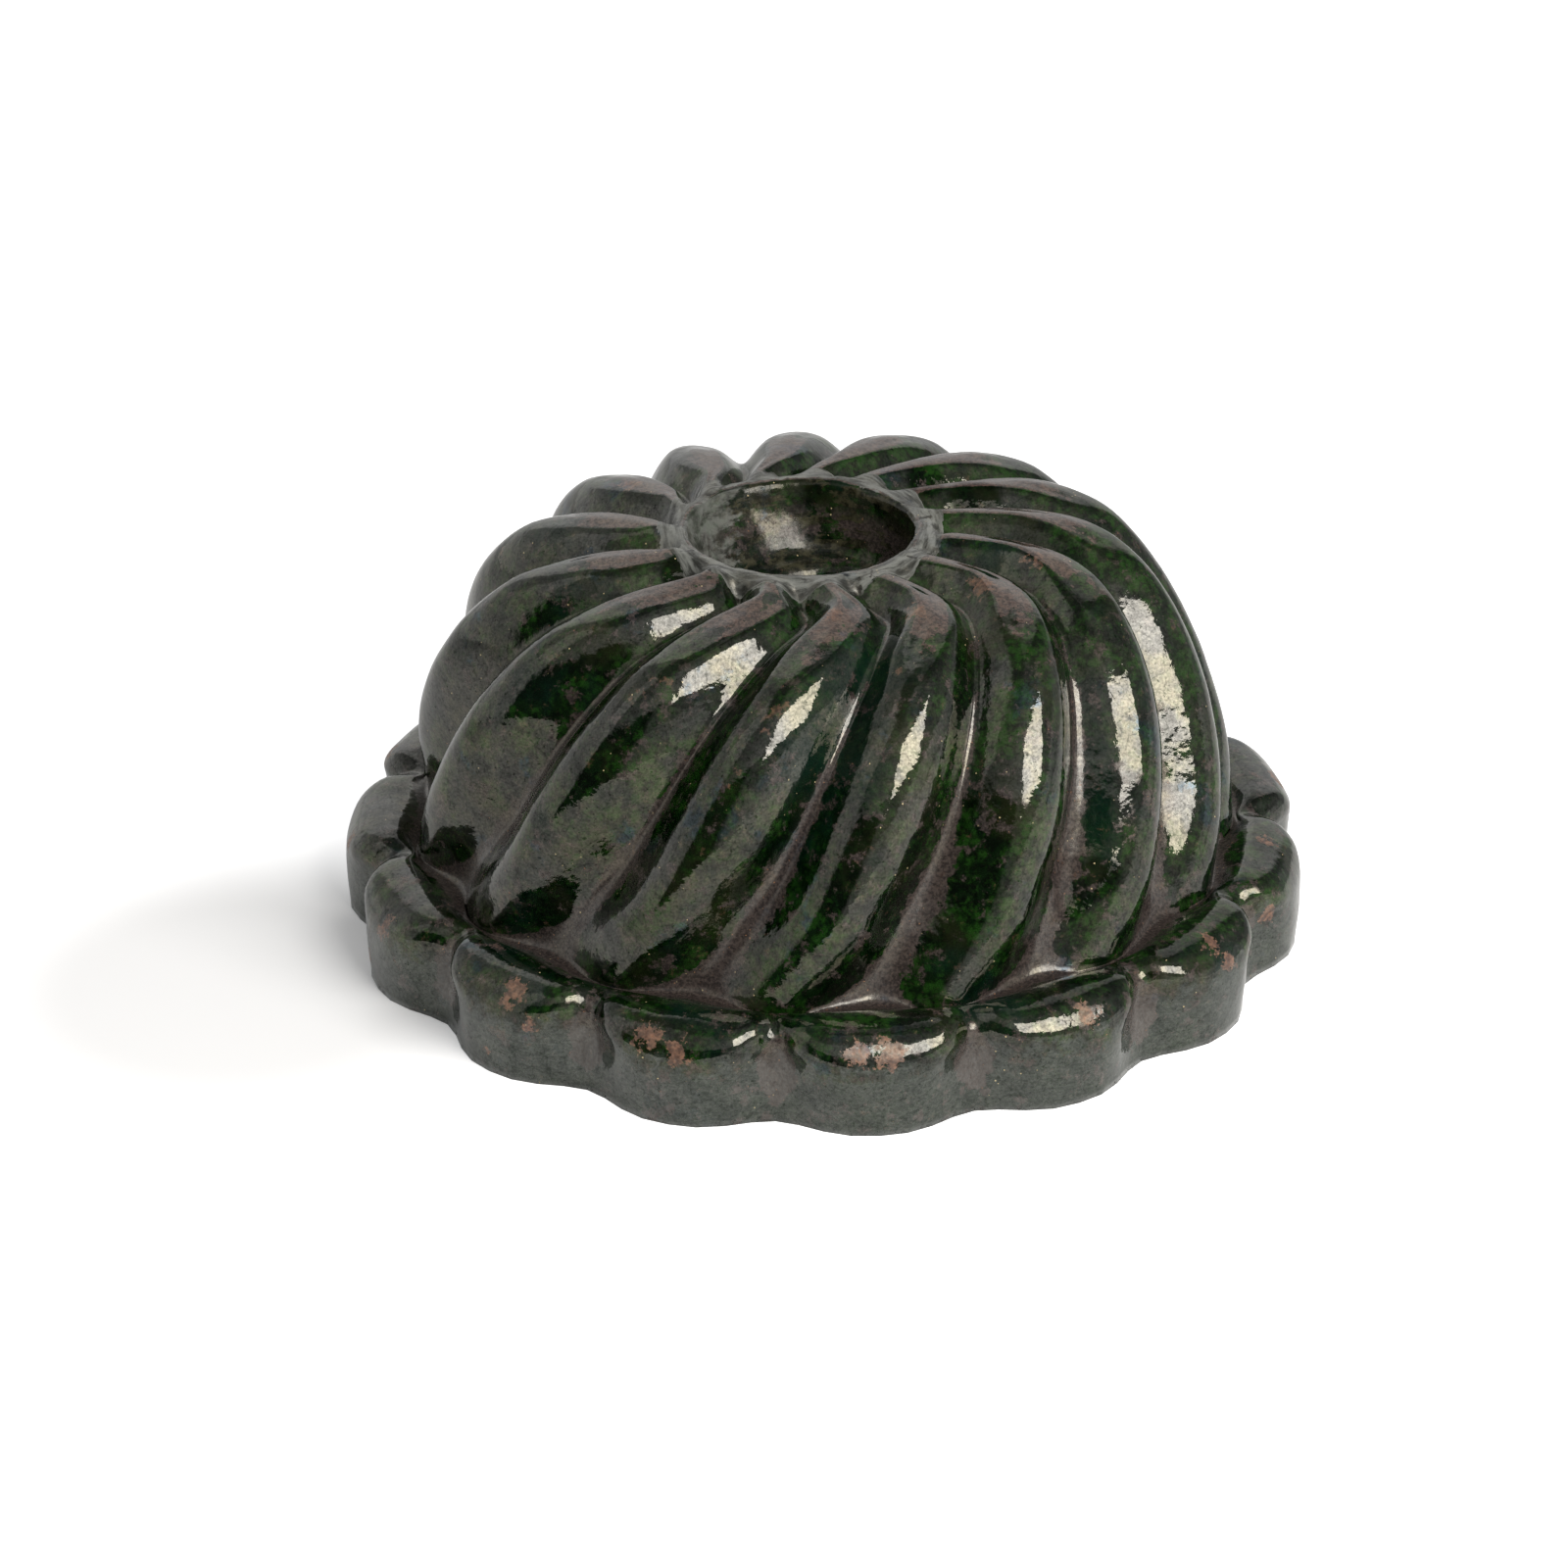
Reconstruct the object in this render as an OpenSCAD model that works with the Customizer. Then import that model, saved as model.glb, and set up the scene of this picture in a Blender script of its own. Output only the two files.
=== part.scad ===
// Ceramic bundt pan, standing mouth down. Millimetres, Z up, origin in the
// middle of the foot. The whole pan is one skin of glazed clay: it runs from
// the foot up the scalloped rim, over the shoulder and the fluted dome, down
// the funnel to its open tip and back along the side that holds the cake.

/* [Rim] */
// Width of the pan over its scallops
rim_d = 250; // [180:1:320]
// Height of the scalloped rim band
rim_h = 26.8; // [20:0.5:34]
// Rounding of the rim's upper edge
rim_round = 11; // [6:0.5:12]
// How far the notches between two scallops reach in
notch_depth = 10.8; // [4:0.2:12]
// How far the notches dip where they run on over the shoulder
crease_depth = 2; // [0:0.1:4]
// Clay left between the rim's outer and inner wall at a scallop
rim_wall = 8; // [6:0.5:12]
// How far the rim draws in at the foot
foot_ease = 0.5; // [0:0.1:1.5]
// How far the valley behind the shoulder lies below the shoulder
valley_depth = 3; // [1:0.2:4]

/* [Dome] */
// Number of flutes, and of scallops below them
flutes = 15; // [10:1:18]
// Height of the flutes' crests over the foot
pan_h = 108; // [90:0.5:140]
// Share of the rim's width that the dome takes at its foot
dome_share = 0.854; // [0.8:0.002:0.87]
// Share of the rim's width at which the crests are highest
crown_share = 0.404; // [0.39:0.004:0.48]
// Squareness of the dome's outline, 2 is an ellipse
dome_square = 2.16; // [2:0.05:2.8]
// How deep the grooves between the flutes are at their deepest
flute_depth = 12; // [6:0.5:14]
// Turn of the flutes from the dome's foot to its crown, in degrees
sweep_angle = 33; // [15:0.2:45]
// Share of a flute's width that the rounding of its groove takes, at the crown
crown_fill_share = 0.15; // [0.05:0.05:0.8]
// The same at the dome's foot
toe_fill_share = 0.5; // [0.05:0.05:0.8]
// Height of the flutes' toes over the valley behind the shoulder
toe_h = 1.6; // [1:0.2:4]
// Thickness of the fired clay in the dome
wall = 7; // [5:0.5:9]

/* [Funnel] */
// Width of the funnel's mouth, the opening seen from above
lip_d = 60; // [46:1:68]
// How far the mouth lies below the flutes' crests
lip_drop = 1; // [0.8:0.2:4]
// Rounding of the mouth's inner edge
lip_round = 1.6; // [0.8:0.2:3]
// Depth of the bowl in which the funnel starts
bowl_depth = 23; // [16:1:36]
// Width of the opening where the bowl ends
neck_d = 29; // [26:1:36]
// Width of the opening at the funnel's tip
tip_d = 26; // [18:1:34]
// Height of the funnel's tip over the foot
tip_h = 14; // [8:1:30]
// Thickness of the fired clay in the funnel
funnel_wall = 5.5; // [4:0.5:7]
// How far the hand-set mouth sits off the middle, in X
lip_shift_x = -6; // [-7:0.5:7]
// The same in Y
lip_shift_y = -1.4; // [-7:0.5:7]

/* [Hidden] */
rim_r = rim_d / 2;
dome_r = rim_r * dome_share;
crown_r = rim_r * crown_share;
lip_r = lip_d / 2;
lip_h = pan_h - lip_drop;
neck_r = neck_d / 2;
hole_depth = lip_h - lip_round - tip_h;
// height of the valley between the shoulder and the dome
valley_h = rim_h - valley_depth;
// the skin runs this far below the foot, where it is ground flat
stub = 1;
// columns of the skin over one flute
per = 8;
columns = flutes * per;
// direction of the first groove at the dome's foot
groove_angle = -108.1;
// rows of the skin over the dome, outside and inside
dome_rows = 11;
cavity_rows = 4;

function mix(a, b, t) = a + (b - a) * t;
function ease(t) = let (s = min(1, max(0, t))) s * s * (3 - 2 * s);
function part(x) = x - floor(x);

// depth across a flute, whose groove lies at every whole u: a bow like a pumpkin's rib,
// 0 on its ridge and 1 in the groove, which is rounded over the share fill
function rib(u, fill) =
    let (x = 1 - abs(2 * part(u) - 1), near = (norm([x, fill]) - fill) / (norm([1, fill]) - fill))
    (1 - near) * (1 - near);
// depth across a scallop, 1 in the notch; each groove ends over the middle of a scallop
function notch(u, sharp) = (1 - cos(180 * pow(1 - abs(2 * part(u) - 1), sharp))) / 2;
// radius and height of the dome at share t of its curve, between its foot and its crown
function bow(foot, crown, t) = mix(crown, foot, pow(cos(90 * t), 2 / dome_square));
function rise(foot, crown, t) = mix(foot, crown, pow(sin(90 * t), 2 / dome_square));
// turn of the flutes at share t of the dome
function swirl(t) = sweep_angle * (t + t * (1 - t) * (0.23 + 0.5 * (1 - 2 * t)));
// depth of the flutes at share t of the dome
function depth(t) = flute_depth * mix(0.55, 1, ease(t / 0.2)) * mix(1, 0.62, ease((t - 0.3) / 0.7));
// share of the flutes that the rounding of their grooves takes at share t of the dome
function fill_share(t) = mix(toe_fill_share, crown_fill_share, ease(t / 0.5));
// radius of the hole through the funnel at this depth below the mouth's edge: a bowl,
// then a nearly straight neck
function in_bowl(d) = min(1, d / bowl_depth);
function hole_r(d) =
    mix(lip_r - lip_round, neck_r, 0.35 * in_bowl(d) + 0.65 * pow(in_bowl(d), 2))
        - (neck_r - tip_d / 2) * max(0, d - bowl_depth) / (hole_depth - bowl_depth);

// One row of the skin, a ring of points: its radius and height; how deep the grooves
// are, how far that depth points down instead of inwards and how far they are filled; what
// share of the notches it has, how far they dip it and how narrow they are; how far it
// is turned; and what share of the mouth's shift it takes
function row(r, h, groove = 0, down = 0, fill = 0.5, notch = 0, dip = 0, nick = 1, turn = 0, shift = 0) =
    [r, h, groove, down, fill, notch, dip, nick, turn, shift];

rim_rows = concat(
    [for (h = [-stub, 0]) row(rim_r - foot_ease, h, notch = 0.65, nick = 1.3)],
    [row(rim_r, 0.3 * rim_h, notch = 0.76, nick = 1.4),
     row(rim_r, rim_h - rim_round, notch = 0.9, nick = 1.8)],
    [for (a = [25, 50, 75])
        row(rim_r - rim_round * (1 - cos(a)), rim_h - rim_round * (1 - sin(a)),
            notch = mix(0.9, 0.5, a / 75), dip = crease_depth * ease(a / 75), nick = mix(1.8, 4.5, a / 75))],
    [row(mix(dome_r, rim_r - rim_round, 0.65), rim_h, groove = 0.05 * flute_depth, fill = 0.8,
         notch = 0.3, dip = crease_depth, nick = 5),
     row(mix(dome_r, rim_r - rim_round, 0.32), mix(valley_h, rim_h, 0.4), groove = 0.25 * flute_depth,
         fill = 0.7, notch = 0.15, dip = 0.5 * crease_depth, nick = 5),
     row(dome_r + 0.3, valley_h, groove = 0.42 * flute_depth, fill = toe_fill_share)]
);
outer_dome = [for (i = [0 : dome_rows]) let (t = i / dome_rows)
    row(bow(dome_r, crown_r, t), rise(valley_h + toe_h, pan_h, t), groove = depth(t), down = 90 * t,
        fill = fill_share(t), turn = swirl(t),
        shift = mix(0, 0.15, ease(3 * t)) - 0.5 * ease((t - 0.4) / 0.6))];
// share of the way from the crown to the lip, share of the drop and of the groove depth
mouth_rows = [for (k = [[0.3, 0, 0.97], [0.54, 0.1, 0.88], [0.72, 0.4, 0.55], [0.86, 0.85, 0.1], [1, 1.05, 0]])
    row(mix(crown_r, lip_r, k[0]), mix(pan_h, lip_h, k[1]), groove = depth(1) * k[2], down = 90,
        fill = mix(crown_fill_share, 0.4, k[0]), turn = sweep_angle * (1 + 0.22 * k[0]),
        shift = mix(-0.35, 1, ease(k[0])))];
mouth_turn = sweep_angle * 1.22;
// the neck stands in the middle of the pan, and the bowl leans over to the mouth
hole_rows = [for (d = [0, 0.22 * bowl_depth, 0.45 * bowl_depth, 0.72 * bowl_depth, bowl_depth,
                       mix(bowl_depth, hole_depth, 0.5), hole_depth])
    row(hole_r(d), lip_h - lip_round - d, turn = mouth_turn, shift = 1 - in_bowl(d))];
tip_rows = [for (s = [0.35, 0.75])
    row(tip_d / 2 + funnel_wall * s, tip_h - 0.1 * funnel_wall, turn = mouth_turn)];
stem_rows = [for (d = [0.96 * hole_depth, 1.15 * bowl_depth, 0.7 * bowl_depth, 0.4 * bowl_depth])
    row(hole_r(d) + funnel_wall * mix(1.25, 1, in_bowl(d)), lip_h - lip_round - d - 0.3 * funnel_wall,
        turn = mouth_turn, shift = 1 - in_bowl(d))];
cavity_dome = [for (i = [cavity_rows : -1 : 0]) let (t = i / cavity_rows)
    row(bow(dome_r - wall, crown_r + 0.15 * wall, t), rise(valley_h, pan_h - 1.5 * wall, t),
        groove = depth(t) * mix(0.95, 0.75, t), down = 90 * t, fill = 0.1 + fill_share(t),
        turn = swirl(t) - 0.08 * sweep_angle * (1 - t), shift = 0.2 * ease((t - 0.5) / 0.5))];
brim_rows = concat(
    [row(mix(dome_r - wall, rim_r - rim_wall, 0.4), rim_h - 1.2 * wall, groove = 0.1 * flute_depth,
         notch = 0.3, nick = 1.5),
     row(rim_r - rim_wall, rim_h - 2.1 * wall, notch = 0.75, nick = 1.5)],
    [for (h = [0, -stub]) row(rim_r - rim_wall, h, notch = 0.75, nick = 1.3)]
);
rows = concat(rim_rows, outer_dome, mouth_rows, hole_rows, tip_rows, stem_rows, cavity_dome, brim_rows);

// Columns crowd together in the grooves of the dome and in the notches of the rim
function crowd(w) = mix(-0.45, 0.35, w[5]) + 0.25 * w[6] / max(crease_depth, 1);
function column(j, w) = j / per + crowd(w) * sin(360 * j / per) / (2 * PI);
function point(w, j) =
    let (u = column(j, w),
         dent = notch(u, w[7]),
         groove = w[2] * rib(u, w[4]),
         r = w[0] - groove * cos(w[3]) - w[5] * notch_depth * dent,
         a = groove_angle + 360 / flutes * u + w[8])
    [r * cos(a) + w[9] * lip_shift_x, r * sin(a) + w[9] * lip_shift_y,
     w[1] - groove * sin(w[3]) - w[6] * dent];

// The pan: one closed skin, ground flat at the foot
module bundt_pan() {
    color("#1e3a18")
    difference() {
        polyhedron(
            points = [for (w = rows) for (j = [0 : columns - 1]) point(w, j)],
            faces = [for (i = [0 : len(rows) - 1]) for (j = [0 : columns - 1]) for (half = [0, 1])
                let (n = (i + 1) % len(rows), k = (j + 1) % columns,
                     a = i * columns + j, b = n * columns + j,
                     c = n * columns + k, d = i * columns + k)
                half == 0 ? [a, b, c] : [a, c, d]],
            convexity = 8);
        translate([-rim_d, -rim_d, -3 * stub])
            cube([2 * rim_d, 2 * rim_d, 3 * stub]);
    }
}

bundt_pan();
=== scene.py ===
import math

import bpy
import numpy as np
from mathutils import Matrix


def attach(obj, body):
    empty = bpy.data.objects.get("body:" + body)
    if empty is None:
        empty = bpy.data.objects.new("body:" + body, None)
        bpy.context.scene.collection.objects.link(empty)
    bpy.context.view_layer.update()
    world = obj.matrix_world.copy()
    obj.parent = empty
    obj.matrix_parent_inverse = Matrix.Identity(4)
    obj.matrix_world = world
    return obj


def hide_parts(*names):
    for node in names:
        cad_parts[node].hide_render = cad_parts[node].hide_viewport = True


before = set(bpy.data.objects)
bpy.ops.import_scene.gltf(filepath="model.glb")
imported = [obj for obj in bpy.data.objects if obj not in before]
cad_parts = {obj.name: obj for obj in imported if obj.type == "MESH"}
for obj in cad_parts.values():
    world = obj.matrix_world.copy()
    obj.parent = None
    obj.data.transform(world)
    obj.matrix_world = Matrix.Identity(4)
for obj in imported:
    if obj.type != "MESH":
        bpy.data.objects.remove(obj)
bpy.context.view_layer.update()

# Camera
# A long lens in front of the pan, about 1.4 m away. It looks down on the pan by 27 degrees,
# and was fitted to the pan's outline in the photo.
LOOK_DOWN = 26.94
camera_data = bpy.data.cameras.new("camera")
camera_data.sensor_width = 36
camera_data.lens = 123.43
camera_data.clip_end = 50
camera = bpy.data.objects.new("camera", camera_data)
camera.location = (-0.01043, -1.24807, 0.66720)
camera.rotation_euler = (math.radians(90 - LOOK_DOWN), 0, 0)
bpy.context.collection.objects.link(camera)
bpy.context.scene.camera = camera
bpy.context.scene.view_settings.view_transform = "Standard"

# Pan
# One piece of thick earthenware with swirled flutes, a scalloped rim and an open funnel,
# pressed in a mould and dipped in a deep green lead glaze. The glaze is glossy on the
# flanks, thin and brown in the grooves and worn through to the red clay along the rim.

# middle of the funnel's mouth, which sits off the middle of the pan
MOUTH_X = -0.006
MOUTH_Y = -0.0014
# the rough ring round the mouth: its radius, and the height over which it lies
LIP_RADIUS = 0.0332
LIP_FROM = 0.099
# the bowl inside that ring: its radius, and how far down it goes
BOWL_RADIUS = 0.03
BOWL_FROM = 0.08
# where the crests are wiped flat: how far from the mouth and how high it starts
WIPED_RADIUS = 0.036
WIPED_FROM = 0.098
# height of the valley behind the shoulder
VALLEY_HEIGHT = 0.026
# the funnel's tip lies within this distance of the pan's axis and of the foot
TIP_REACH = 0.03
# how often the skin is evened out to find what stands proud of it, and in the valley
EVENED_ROUNDS = 60
POOLED_ROUNDS = 14

node = bpy.data.objects["bundt_pan"]
pan = bpy.data.objects.new("pan", node.data.copy())
pan.matrix_world = node.matrix_world
bpy.context.collection.objects.link(pan)
bpy.ops.object.select_all(action="DESELECT")
pan.select_set(True)
bpy.context.view_layer.objects.active = pan
bpy.ops.object.transform_apply(location=True, rotation=True, scale=True)

# the part's facets are joined into one skin of four-sided faces
bpy.ops.object.mode_set(mode="EDIT")
bpy.ops.mesh.select_all(action="SELECT")
bpy.ops.mesh.remove_doubles(threshold=0.000001)
bpy.ops.mesh.tris_convert_to_quads(face_threshold=math.radians(60), shape_threshold=math.radians(60))
bpy.ops.mesh.normals_make_consistent(inside=False)
bpy.ops.object.mode_set(mode="OBJECT")


def each_point(mesh, what):
    """Returns a place ("co") or a direction ("normal") for each point, as rows of x, y and z."""
    flat = np.empty(len(mesh.vertices) * 3)
    mesh.vertices.foreach_get(what, flat)
    return flat.reshape(-1, 3)


# the ground foot keeps its edge when the skin is smoothed
mesh = pan.data
corners = each_point(mesh, "co")
crease = mesh.attributes.new("crease_edge", "FLOAT", "EDGE")
for edge in mesh.edges:
    on_foot = abs(corners[list(edge.vertices), 2]).max() < 0.00002
    crease.data[edge.index].value = 1.0 if on_foot else 0.0

# the skin is smoothed so that it still passes through every point of the part, but for
# the funnel's tip, which is only rounded: its rings lie so unevenly that it would bulge
on_tip = (np.hypot(corners[:, 0], corners[:, 1]) < TIP_REACH) & (corners[:, 2] < TIP_REACH)
smooth = pan.modifiers.new("smooth", "SUBSURF")
smooth.levels = 2
smooth.render_levels = 2
control = corners.copy()
for attempt in range(4):
    skin = pan.evaluated_get(bpy.context.evaluated_depsgraph_get()).data
    control += (corners - each_point(skin, "co")[:len(corners)]) * ~on_tip[:, None]
    mesh.vertices.foreach_set("co", control.ravel())
    mesh.update()
bpy.ops.object.modifier_apply(modifier="smooth")


def rising(values, none, full):
    """Returns 0 at none or past it, 1 at full or past it, and a share between the two."""
    return np.clip((values - none) / (full - none), 0, 1)


def shaken(name, shares, size, detail, depth):
    """Pushes the skin in and out by soft noise of this size and depth, by each point's share."""
    group = pan.vertex_groups.new(name=name)
    for index in np.flatnonzero(shares):
        group.add([int(index)], float(shares[index]), "REPLACE")
    clouds = bpy.data.textures.new(name, "CLOUDS")
    clouds.noise_scale = size
    clouds.noise_depth = detail
    shake = pan.modifiers.new(name, "DISPLACE")
    shake.texture = clouds
    shake.texture_coords = "LOCAL"
    shake.strength = depth
    shake.vertex_group = name
    bpy.ops.object.modifier_apply(modifier=name)


# hand-pressed clay is never quite even: slow dents first, then the ripples of the glaze
above_foot = rising(each_point(pan.data, "co")[:, 2], 0.001, 0.013)
shaken("dents", above_foot, 0.03, 1, 0.0008)
shaken("ripples", above_foot, 0.008, 1, 0.00022)
# the clay was pinched round the mouth by hand, which left a rough ring
points = each_point(pan.data, "co")
from_mouth = np.hypot(points[:, 0] - MOUTH_X, points[:, 1] - MOUTH_Y)
lip = rising(abs(from_mouth - LIP_RADIUS), 0.0054, 0.0018) * (points[:, 2] > LIP_FROM)
shaken("lumps", lip, 0.006, 2, 0.0016)
bpy.ops.object.shade_smooth()

# each point's neighbours, as pairs in both directions
mesh = pan.data
points = each_point(mesh, "co")
normals = each_point(mesh, "normal")
ends = np.empty(len(mesh.edges) * 2, dtype=int)
mesh.edges.foreach_get("vertices", ends)
ends = ends.reshape(-1, 2)
near = np.concatenate([ends, ends[:, ::-1]])
count = np.bincount(near[:, 0], minlength=len(points))


def evened(rows):
    """Returns for each point the middle of its neighbours."""
    middles = np.empty_like(rows)
    for axis in range(3):
        sums = np.bincount(near[:, 0], weights=rows[near[:, 1], axis], minlength=len(rows))
        middles[:, axis] = sums / count
    return middles


def bulges():
    """Returns how far each point stands proud of the skin around it, in millimetres."""
    spread = points
    for step in range(EVENED_ROUNDS):
        spread = evened(spread)
    return ((points - spread) * normals).sum(axis=1) * 1000


# round the mouth the crests were wiped flat, by 1.6 mm at most
crown = rising(points[:, 2], WIPED_FROM, WIPED_FROM + 0.006) * (from_mouth > WIPED_RADIUS)
wiped = np.clip(bulges() - 1.1, 0, 1.6) * crown * rising(normals[:, 2], 0.65, 0.9)
points[:, 2] -= wiped / 1000
# the glaze pooled in the valley behind the shoulder and rounded it
in_valley = rising(abs(points[:, 2] - VALLEY_HEIGHT), 0.0064, 0.0024)
pooled = rising(-bulges(), 0.3, 1.3) * in_valley
for step in range(POOLED_ROUNDS):
    points += (evened(points) - points) * pooled[:, None]
mesh.vertices.foreach_set("co", points.ravel())
mesh.update()

# places where the glaze is worn off: side in degrees, way out, height and size in millimetres
WORN = (
    (-86.4, 123, 22, 5.5), (-83, 123, 22, 5.5), (-107, 124, 20, 6), (-111, 122, 22, 5.5),
    (-129, 122, 23, 6), (-126, 124, 17, 3), (-58.6, 122, 23, 5), (-37, 120, 25, 4.5),
    (-36, 124, 20, 4), (-154, 124, 20, 5), (-159, 124, 7, 4), (-20, 120, 17, 4.5),
    (10, 122, 23, 6), (-10, 116, 26, 4), (32, 122, 22, 6), (78, 123, 21, 7),
    (104, 122, 23, 5), (131, 123, 20, 6), (162, 122, 23, 6), (-176, 123, 20, 5), (-132, 124, 6, 3),
)
# the same for the crests' ends round the mouth, where the clay is bare
BARE_ENDS = (
    (-67.6, 54, 106, 6), (-43, 52, 106, 6), (-89, 53, 106, 4),
    (-20, 56, 105, 5), (60, 56, 105, 5), (150, 58, 105, 5),
)
# the same for scuffs down the flutes' sides, where a little clay shows through
SCUFFS = (
    (-123.6, 84, 93, 3), (-121.5, 82, 95, 3), (-119.5, 79, 96.5, 2.5), (-100.3, 86, 91, 3),
    (-99, 84, 93, 3), (-97.6, 82, 95, 2.5), (-104.3, 94, 79, 2.5), (-103, 93, 82, 2.5),
    (-76, 72, 98, 3), (-150, 92, 70, 3), (28, 84, 93, 3), (75, 86, 90, 3), (122, 83, 93, 3),
    (168, 85, 91, 3),
)
# the same for dull places that throw back little light
DULL = (
    (28.6, 44, 105, 9), (43, 35, 106, 7), (52, 43, 104, 7), (-147, 43, 104, 7),
    (-47.5, 100, 45, 7), (-51, 95, 45, 7), (-52, 98, 39, 6),
)


def nearness(marks):
    """Returns how near each point is to one of the marks, 1 in its middle and 0 outside it."""
    best = np.zeros(len(points))
    for side, out, high, wide in marks:
        turn = math.radians(side)
        middle = np.array((out * math.cos(turn), out * math.sin(turn), high)) / 1000
        gap = np.linalg.norm(points - middle, axis=1) * 1000 / wide
        best = np.maximum(best, 1 - gap)
    return best


# each point remembers how hollow the skin is there, where it faces and what mark it is on
normals = each_point(mesh, "normal")
kept = {
    "hollow": np.clip(-bulges(), 0, 3),
    "lip": lip,
    "up": normals[:, 2],
    "worn": nearness(WORN),
    "bare_end": nearness(BARE_ENDS),
    "scuff": nearness(SCUFFS),
    "dull": nearness(DULL),
    "bowl": (from_mouth < BOWL_RADIUS) * (points[:, 2] > BOWL_FROM),
}
for name, value in kept.items():
    attribute = mesh.attributes.new(name, "FLOAT", "POINT")
    attribute.data.foreach_set("value", value.astype(np.float32))

# the glaze's greens
BOTTLE_DARK = (0.0006, 0.0024, 0.0007, 1)
BOTTLE_GREEN = (0.008, 0.035, 0.004, 1)
CELL_DARK = (0.0015, 0.007, 0.0015, 1)
OLIVE = (0.009, 0.0115, 0.004, 1)
SEA_GREEN = (0.002, 0.012, 0.007, 1)
GRAIN_DARK = (0.0008, 0.0016, 0.0008, 1)
WALL_DARK = (0.0075, 0.0115, 0.008, 1)
WALL_GREY = (0.038, 0.045, 0.036, 1)
# thin glaze, on the rim's wall lightened partly by painted light, and the crests' brown, partly
# rubbed glaze and partly a painted reflection of the pale backdrop
THIN_DARK = (0.02, 0.0155, 0.0145, 1)
THIN_BROWN = (0.056, 0.043, 0.038, 1)
# lighter thin glaze on the rim's wall: partly its own brown-grey, partly painted light against the
# shade in the notches
THIN_AND_PAINTED_LIGHT_ON_WALL = (0.075, 0.064, 0.057, 1)
RUST = (0.22, 0.11, 0.06, 1)
RUBBED_AND_REFLECTION_DARK = (0.03, 0.021, 0.019, 1)
RUBBED_AND_REFLECTION_BROWN = (0.088, 0.056, 0.045, 1)
# bare clay, the bowl's streaks, the grey slip round the mouth and the grit
CLAY_DARK = (0.06, 0.032, 0.024, 1)
CLAY_RED = (0.21, 0.11, 0.07, 1)
STREAK_DARK = (0.008, 0.008, 0.004, 1)
STREAK_OLIVE = (0.036, 0.034, 0.018, 1)
ASH_DARK = (0.022, 0.023, 0.02, 1)
ASH_GREY = (0.17, 0.175, 0.16, 1)
CRACK_DARK = (0.006, 0.006, 0.005, 1)
CREAM = (0.5, 0.4, 0.22, 1)
# tints of the shine
PALE_SHINE = (1, 0.97, 0.9, 1)
GOLD_SHINE = (1, 0.92, 0.72, 1)
BLUE_SHINE = (0.7, 0.86, 1, 1)
WALL_SHINE = (0.96, 1, 0.97, 1)

glaze = bpy.data.materials.new("glaze")
glaze.use_nodes = True
tree = glaze.node_tree
shader = tree.nodes["Principled BSDF"]
spot = tree.nodes.new("ShaderNodeTexCoord").outputs["Object"]


def feed(socket, value):
    """Links a node's output into the socket, or sets a plain value on it."""
    if isinstance(value, bpy.types.NodeSocket):
        tree.links.new(value, socket)
    else:
        socket.default_value = value


def noise(size, detail=2.0, rough=0.5, twist=0.0, vector=None):
    """Returns soft noise whose blotches are about this size in metres."""
    made = tree.nodes.new("ShaderNodeTexNoise")
    feed(made.inputs["Vector"], vector or spot)
    made.inputs["Scale"].default_value = 1 / size
    made.inputs["Detail"].default_value = detail
    made.inputs["Roughness"].default_value = rough
    made.inputs["Distortion"].default_value = twist
    return made.outputs["Fac"]


def cells(size, feature="F1", vector=None):
    """Returns the distance pattern of cells of about this size in metres."""
    made = tree.nodes.new("ShaderNodeTexVoronoi")
    made.feature = feature
    feed(made.inputs["Vector"], vector or spot)
    made.inputs["Scale"].default_value = 1 / size
    return made.outputs["Distance"]


def between(value, low, high, low_out=0.0, high_out=1.0):
    """Returns the value stretched so that low and high become the two outputs."""
    made = tree.nodes.new("ShaderNodeMapRange")
    made.interpolation_type = "SMOOTHSTEP"
    feed(made.inputs["Value"], value)
    made.inputs["From Min"].default_value = low
    made.inputs["From Max"].default_value = high
    made.inputs["To Min"].default_value = low_out
    made.inputs["To Max"].default_value = high_out
    return made.outputs["Result"]


def combine(kind, first, second):
    """Returns two values combined by this kind of sum."""
    made = tree.nodes.new("ShaderNodeMath")
    made.operation = kind
    feed(made.inputs[0], first)
    feed(made.inputs[1], second)
    return made.outputs[0]


def plus(first, second):
    """Returns the sum of two values."""
    return combine("ADD", first, second)


def times(first, second):
    """Returns the product of two values."""
    return combine("MULTIPLY", first, second)


def most(first, second):
    """Returns the larger of two values."""
    return combine("MAXIMUM", first, second)


def blend(share, first, second):
    """Returns the first colour turning into the second as the share goes to one."""
    made = tree.nodes.new("ShaderNodeMix")
    made.data_type = "RGBA"
    # a Mix node has a pair of sockets for each kind of value, and its colours are 6 and 7
    feed(made.inputs[0], share)
    feed(made.inputs[6], first)
    feed(made.inputs[7], second)
    return made.outputs[2]


def measure(name):
    """Returns one of the values that the mesh keeps at its points."""
    made = tree.nodes.new("ShaderNodeAttribute")
    made.attribute_name = name
    return made.outputs["Fac"]


def stretched(factors, turn=(0, 0, 0)):
    """Returns the place stretched and turned, for streaks."""
    made = tree.nodes.new("ShaderNodeMapping")
    feed(made.inputs["Vector"], spot)
    made.inputs["Scale"].default_value = factors
    made.inputs["Rotation"].default_value = turn
    return made.outputs["Vector"]


split = tree.nodes.new("ShaderNodeSeparateXYZ")
feed(split.inputs[0], spot)
height = split.outputs["Z"]

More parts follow.
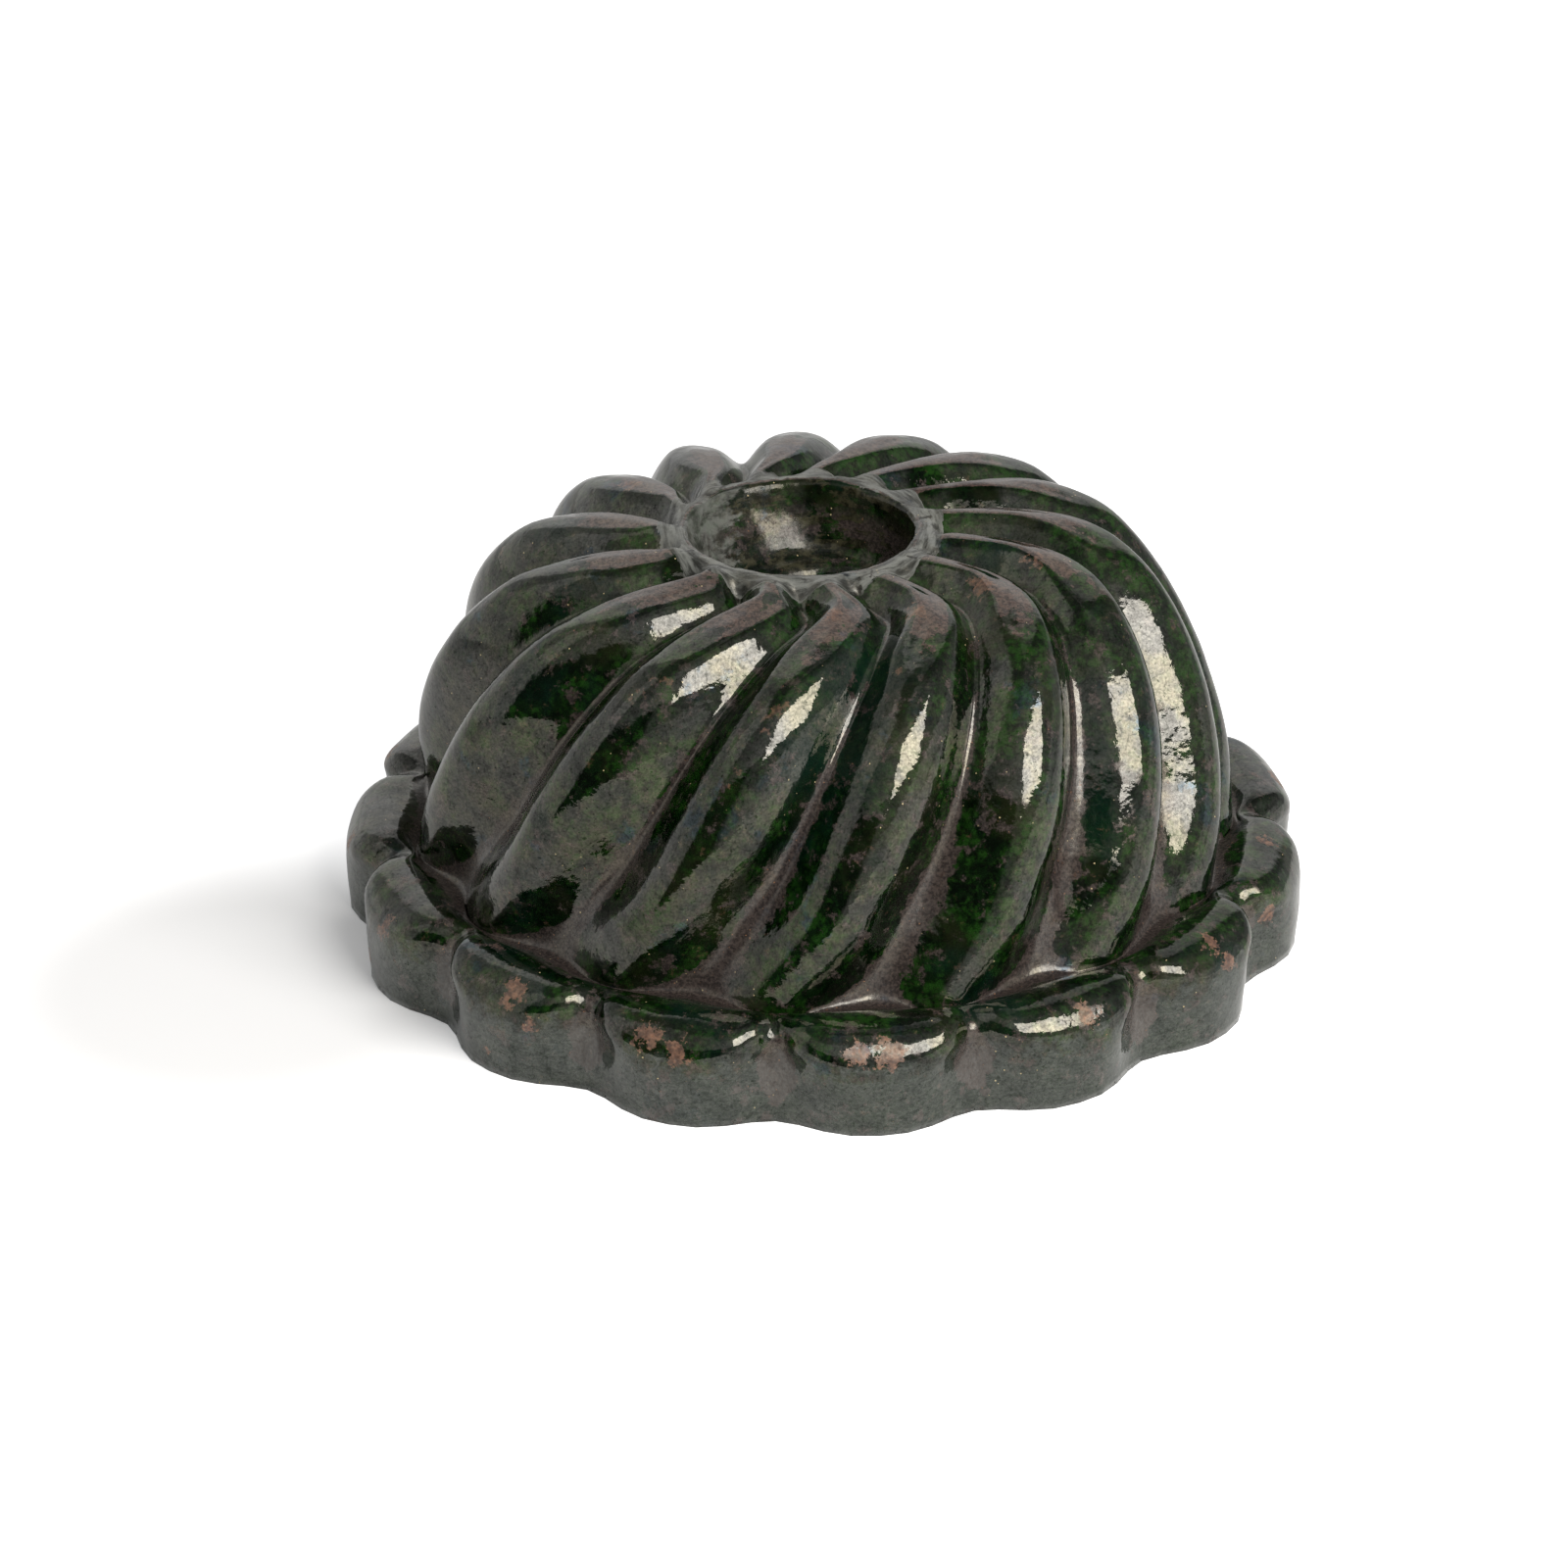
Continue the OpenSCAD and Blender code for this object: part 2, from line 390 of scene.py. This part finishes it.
# green glass over dark clay: cells of a millimetre or two, broad drifts and a fine dark grain
dapple = plus(noise(0.0022, 4, 0.7), between(noise(0.012, 3, 0.6), 0.3, 0.7, -0.16, 0.16))
green = blend(between(dapple, 0.4, 0.72), BOTTLE_DARK, BOTTLE_GREEN)
green = blend(between(cells(0.0021), 0.45, 0.8), green, CELL_DARK)
green = blend(between(noise(0.02, 5, 0.65), 0.5, 0.66, 0, 0.8), green, OLIVE)
drift = noise(0.03, 4, 0.6, vector=stretched((1, 1, 0.6), (0.4, 0.2, 0)))
green = blend(between(drift, 0.55, 0.7, 0, 0.8), green, SEA_GREEN)
green = blend(between(noise(0.0006, 3, 0.7), 0.42, 0.3, 0, 0.8), green, GRAIN_DARK)

# the rim's wall is an even grey green, brushed with fine scratches
fray = between(noise(0.005, 5, 0.7), 0.3, 0.7, -0.5, 0.5)
brushed = noise(0.0022, 4, 0.75, vector=stretched((1, 1, 3)))
wall = blend(between(brushed, 0.35, 0.65), WALL_DARK, WALL_GREY)
low_down = between(plus(height, times(fray, 0.01)), 0.021, 0.014)
green = blend(times(low_down, 0.85), green, wall)

# thin brown-grey glaze in the grooves, on the crests' tops and in scattered blotches; on the crests'
# tops, picked by facing up, the brown is partly a painted reflection of the pale backdrop
thin = blend(between(noise(0.0009, 3, 0.7), 0.4, 0.62), THIN_DARK, THIN_BROWN)
# on the rim's wall the thin glaze is lighter: partly its own brown-grey, partly painted light that
# lifts the shade in the notches
thin = blend(times(low_down, 0.6), thin, THIN_AND_PAINTED_LIGHT_ON_WALL)
thin = blend(between(noise(0.0008, 1, 0.5), 0.74, 0.78), thin, RUST)
groove = between(plus(measure("hollow"), fray), 0.22, 0.45)
groove = times(groove, between(height, 0.103, 0.097))
blotch = between(noise(0.011, 6, 0.7), 0.63, 0.65)
crest = plus(between(measure("up"), 0.86, 0.99, 0, 2), between(height, 0.097, 0.105))
crest = between(plus(crest, fray), 2.4, 2.46)
colour = blend(most(most(groove, blotch), crest), green, thin)
# the crests' brown is partly rubbed glaze and partly a painted reflection of the pale backdrop
rubbed_and_reflection = blend(between(noise(0.0014, 4, 0.75), 0.4, 0.62), RUBBED_AND_REFLECTION_DARK, RUBBED_AND_REFLECTION_BROWN)
colour = blend(crest, colour, rubbed_and_reflection)

# red clay where the glaze is worn off the rim's edge and the crests' ends
clay = blend(between(noise(0.0012, 3, 0.6), 0.35, 0.7), CLAY_DARK, CLAY_RED)
frayed = between(noise(0.003, 5, 0.7), 0.3, 0.7, -0.6, 0.6)
worn = between(plus(times(measure("worn"), 1.5), frayed), 0.64, 0.68)
worn = most(worn, between(noise(0.009, 6, 0.75), 0.72, 0.73))
end = between(plus(times(measure("bare_end"), 1.5), frayed), 0.64, 0.8, 0, 0.75)
scuff = between(plus(measure("scuff"), frayed), 0.45, 0.75, 0, 0.5)
colour = blend(most(most(worn, end), scuff), colour, clay)

# brown and olive streaks run down the bowl
streaks = between(noise(0.011, 5, 0.7, vector=stretched((1, 1, 4))), 0.5, 0.57)
streak = blend(between(noise(0.003, 4, 0.7), 0.4, 0.6), STREAK_DARK, STREAK_OLIVE)
bowl = measure("bowl")
colour = blend(times(bowl, streaks), colour, streak)

# a finger drew the grey slip round the mouth, so its streaks run round too
mouth_x = plus(split.outputs["X"], -MOUTH_X)
mouth_y = plus(split.outputs["Y"], -MOUTH_Y)
apart = tree.nodes.new("ShaderNodeVectorMath")
apart.operation = "DISTANCE"
feed(apart.inputs[0], stretched((1, 1, 0)))
apart.inputs[1].default_value = (MOUTH_X, MOUTH_Y, 0)
drawn = tree.nodes.new("ShaderNodeCombineXYZ")
feed(drawn.inputs["X"], times(combine("ARCTAN2", mouth_y, mouth_x), 0.006))
feed(drawn.inputs["Y"], apart.outputs["Value"])
drawn = drawn.outputs[0]
smear = between(noise(0.0026, 4, 0.65, vector=drawn), 0.32, 0.68, -0.45, 0.45)
ring = between(plus(times(measure("lip"), 2), plus(smear, times(fray, 0.6))), 1.2, 1.35)
# on the left the grey of the ring runs on into the bowl
grey_on_left = between(plus(mouth_x, times(smear, 0.008)), -0.016, -0.019, 0, 0.7)
ring = most(ring, times(bowl, grey_on_left))
ash = blend(between(noise(0.0021, 5, 0.7, 0.4, drawn), 0.38, 0.62), ASH_DARK, ASH_GREY)
crack = cells(0.012, "DISTANCE_TO_EDGE", stretched((1, 1, 0.3)))
crack = plus(crack, between(noise(0.0035, 4, 0.7), 0.3, 0.7, -0.07, 0.07))
crack = times(between(crack, 0.03, 0.01), between(noise(0.009, 2), 0.45, 0.55))
ash = blend(times(crack, combine("SUBTRACT", 1, bowl)), ash, CRACK_DARK)
colour = blend(ring, colour, ash)

# cream specks of grit
speck = times(between(cells(0.0032), 0.075, 0.05), between(noise(0.02, 3, 0.6), 0.5, 0.6))
colour = blend(speck, colour, CREAM)
feed(shader.inputs["Base Color"], colour)

# the green glass is smooth; low grooves, crests, bare clay, the slip and the bowl are rougher
rough = between(noise(0.004, 3, 0.6), 0.35, 0.75, 0.02, 0.06)
rough = plus(rough, times(groove, between(height, 0.085, 0.07, 0.04, 0.21)))
rough = plus(rough, times(crest, 0.1))
rough = plus(rough, times(worn, 0.34))
rough = plus(rough, times(ring, 0.28))
rough = plus(rough, times(bowl, between(noise(0.004, 4, 0.7), 0.4, 0.6, 0.07, 0.18)))
feed(shader.inputs["Roughness"], rough)
shader.inputs["IOR"].default_value = 1.65

# the old glaze has a faint lustre, golden in some places and bluish in others
lustre = blend(between(noise(0.012, 5, 0.65), 0.4, 0.62), PALE_SHINE, GOLD_SHINE)
bluish = noise(0.016, 5, 0.65, vector=stretched((1, 1, 1), (1.1, 0.3, 0.7)))
lustre = blend(between(bluish, 0.6, 0.68), lustre, BLUE_SHINE)
lustre = blend(times(low_down, 0.8), lustre, WALL_SHINE)
feed(shader.inputs["Specular Tint"], lustre)

# its shine is broken by fine pits and the threads of a crackle, and weak at the dull places
sheen = between(noise(0.006, 6, 0.8), 0.3, 0.7, 0.34, 0.7)
pits = between(noise(0.0012, 2, 0.6), 0.66, 0.7, 1, 0.35)
pits = times(pits, between(noise(0.0007, 3, 0.75), 0.35, 0.65, 0.72, 1.25))
threads = between(noise(0.0015, 3, 0.7), 0.3, 0.7, -0.04, 0.04)
threads = plus(cells(0.0045, "DISTANCE_TO_EDGE"), threads)
pits = times(pits, between(threads, 0.0, 0.03, 0.7, 1))
dull = most(times(bowl, 0.5), between(measure("dull"), 0, 0.4, 0, 0.9))
sheen = times(sheen, combine("SUBTRACT", 1, dull))
sheen = times(sheen, plus(1, times(low_down, 0.15)))
feed(shader.inputs["Specular IOR Level"], times(sheen, pits))

# grain of the glaze, which frays the edges of every reflection
grain = tree.nodes.new("ShaderNodeBump")
grain.inputs["Strength"].default_value = 1
grain.inputs["Distance"].default_value = 0.00018
feed(grain.inputs["Height"], noise(0.005, 2, 0.5))
fine = tree.nodes.new("ShaderNodeBump")
fine.inputs["Strength"].default_value = 1
fine.inputs["Distance"].default_value = 0.00003
feed(fine.inputs["Height"], noise(0.0013, 2, 0.6))
feed(fine.inputs["Normal"], grain.outputs["Normal"])
feed(shader.inputs["Normal"], fine.outputs["Normal"])
pan.data.materials.clear()
pan.data.materials.append(glaze)

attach(pan, "root")
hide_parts("bundt_pan")

# Table
# A matt white table top of 6 by 3.4 m. A painted glow, seen by the camera only, whitens it
# and hides the pan's shadow, but for a patch at the left, where the glow is weak and the pan's soft
# shadow shows.
TABLE_WHITE = (0.94, 0.94, 0.94, 1)
SHADOW_PATCH = (-0.15, -0.05, 0)
bpy.ops.mesh.primitive_plane_add(size=1)
table = bpy.context.object
table.name = "table"
bpy.ops.object.mode_set(mode="EDIT")
bpy.ops.mesh.select_all(action="SELECT")
bpy.ops.transform.resize(value=(6, 3.4, 1))
bpy.ops.transform.translate(value=(0, 1.3, 0))
bpy.ops.object.mode_set(mode="OBJECT")
top = bpy.data.materials.new("table_top")
top.use_nodes = True
tree = top.node_tree
shader = tree.nodes["Principled BSDF"]
shader.inputs["Base Color"].default_value = TABLE_WHITE
shader.inputs["Roughness"].default_value = 0.9
shader.inputs["Specular IOR Level"].default_value = 0.2
shader.inputs["Emission Color"].default_value = (1, 1, 1, 1)
ray = tree.nodes.new("ShaderNodeLightPath")
reach = tree.nodes.new("ShaderNodeVectorMath")
reach.operation = "DISTANCE"
feed(reach.inputs[0], tree.nodes.new("ShaderNodeTexCoord").outputs["Object"])
reach.inputs[1].default_value = SHADOW_PATCH
# painted glow: strong away from the patch at the left, weak in it
glow = between(reach.outputs["Value"], 0.04, 0.1, 0.1, 0.75)
feed(shader.inputs["Emission Strength"], times(ray.outputs["Is Camera Ray"], glow))
table.data.materials.append(top)

# Room
# White where the camera looks past the table, and even grey light for all that is matt. What
# is glossy mirrors the walls: four rings of brightness, one over the other, pale at the left,
# the right and behind, and dark low down in front, a little to the left.
world = bpy.data.worlds.new("room")
bpy.context.scene.world = world
world.use_nodes = True
tree = world.node_tree
tree.nodes.clear()
way = tree.nodes.new("ShaderNodeSeparateXYZ")
feed(way.inputs[0], tree.nodes.new("ShaderNodeTexCoord").outputs["Generated"])
around = combine("ARCTAN2", way.outputs["X"], times(way.outputs["Y"], -1))
around = plus(combine("DIVIDE", around, 2 * math.pi), 0.5)


def ring_of(*marks):
    """Returns the brightness round the room, from marks of a side in degrees and a brightness."""
    made = tree.nodes.new("ShaderNodeValToRGB")
    feed(made.inputs["Fac"], around)
    ramp = made.color_ramp
    while len(ramp.elements) < len(marks):
        ramp.elements.new(0.5)
    for element, (side, bright) in zip(ramp.elements, marks):
        element.position = side / 360 + 0.5
        element.color = (bright, bright, bright, 1)
    return made.outputs["Color"]


# side 0 is in front, 90 at the right and 180 behind the pan
low = ring_of((-180, 0.65), (-148, 0.75), (-142, 0.75), (-64, 0.8), (-58, 0.03), (-6, 0.03),
              (4, 0.5), (30, 0.85), (45, 1.2), (85, 1), (100, 0.6), (125, 0.35), (144, 0.3),
              (150, 0.65), (180, 0.65))
lifted = ring_of((-180, 0.87), (-150, 0.9), (-145, 0.45), (-110, 0.65), (-64, 0.75), (-58, 0.03),
                 (-4, 0.03), (4, 0.35), (60, 0.5), (80, 0.4), (110, 0.35), (144, 0.12),
                 (150, 0.78), (180, 0.78))
middle = ring_of((-180, 0.85), (-150, 0.9), (-145, 0.36), (-100, 0.5), (-95, 0.9), (-64, 0.9),
                 (-58, 0.35), (-30, 0.45), (5, 0.8), (28, 0.8), (60, 0.35), (80, 0.5),
                 (110, 0.25), (144, 0.1), (150, 0.62), (180, 0.62))
high = ring_of((-180, 0.15), (-150, 0.15), (-144, 0.12), (-40, 0.15), (0, 0.4), (60, 0.45),
               (90, 0.25), (144, 0.1), (150, 0.3), (180, 0.3))
walls = blend(between(way.outputs["Z"], 0.18, 0.24), low, lifted)
walls = blend(between(way.outputs["Z"], 0.5, 0.56), walls, middle)
walls = blend(between(way.outputs["Z"], 0.86, 0.92), walls, high)
ray = tree.nodes.new("ShaderNodeLightPath")
backdrop = tree.nodes.new("ShaderNodeBackground")
backdrop.inputs["Strength"].default_value = 1
fill = tree.nodes.new("ShaderNodeBackground")
fill.inputs["Strength"].default_value = 0.45
for background in (backdrop, fill):
    background.inputs["Color"].default_value = (1, 1, 1, 1)
gloss = tree.nodes.new("ShaderNodeBackground")
feed(gloss.inputs["Color"], walls)
by_gloss = tree.nodes.new("ShaderNodeMixShader")
feed(by_gloss.inputs[0], ray.outputs["Is Glossy Ray"])
feed(by_gloss.inputs[1], fill.outputs[0])
feed(by_gloss.inputs[2], gloss.outputs[0])
by_camera = tree.nodes.new("ShaderNodeMixShader")
feed(by_camera.inputs[0], ray.outputs["Is Camera Ray"])
feed(by_camera.inputs[1], by_gloss.outputs[0])
feed(by_camera.inputs[2], backdrop.outputs[0])
out = tree.nodes.new("ShaderNodeOutputWorld")
feed(out.inputs["Surface"], by_camera.outputs[0])

# Key light
# One flat soft light, 92 cm wide and 58 cm tall, stands at the front right and looks down at
# the pan. It is warm and a little tilted, and draws the long highlights on the flutes.
KEY_SIDE = math.radians(40)
KEY_RISE = math.radians(38)
KEY_TILT = math.radians(-9)
KEY_AWAY = 1.2
KEY_WIDTH = 0.92
KEY_HEIGHT = 0.58
KEY_BRIGHTNESS = 9
AIM_HEIGHT = 0.06
lamp = bpy.data.lights.new("key", "AREA")
lamp.shape = "RECTANGLE"
lamp.size = KEY_WIDTH
lamp.size_y = KEY_HEIGHT
lamp.energy = KEY_BRIGHTNESS * math.pi * KEY_WIDTH * KEY_HEIGHT
lamp.color = (1, 0.975, 0.94)
key = bpy.data.objects.new("key", lamp)
out_along_floor = KEY_AWAY * math.cos(KEY_RISE)
key.location = (out_along_floor * math.sin(KEY_SIDE), -out_along_floor * math.cos(KEY_SIDE),
                AIM_HEIGHT + KEY_AWAY * math.sin(KEY_RISE))
key.rotation_euler = (math.pi / 2 - KEY_RISE, 0, KEY_SIDE)
key.rotation_euler.rotate_axis("Z", KEY_TILT)
key.visible_camera = False
bpy.context.collection.objects.link(key)
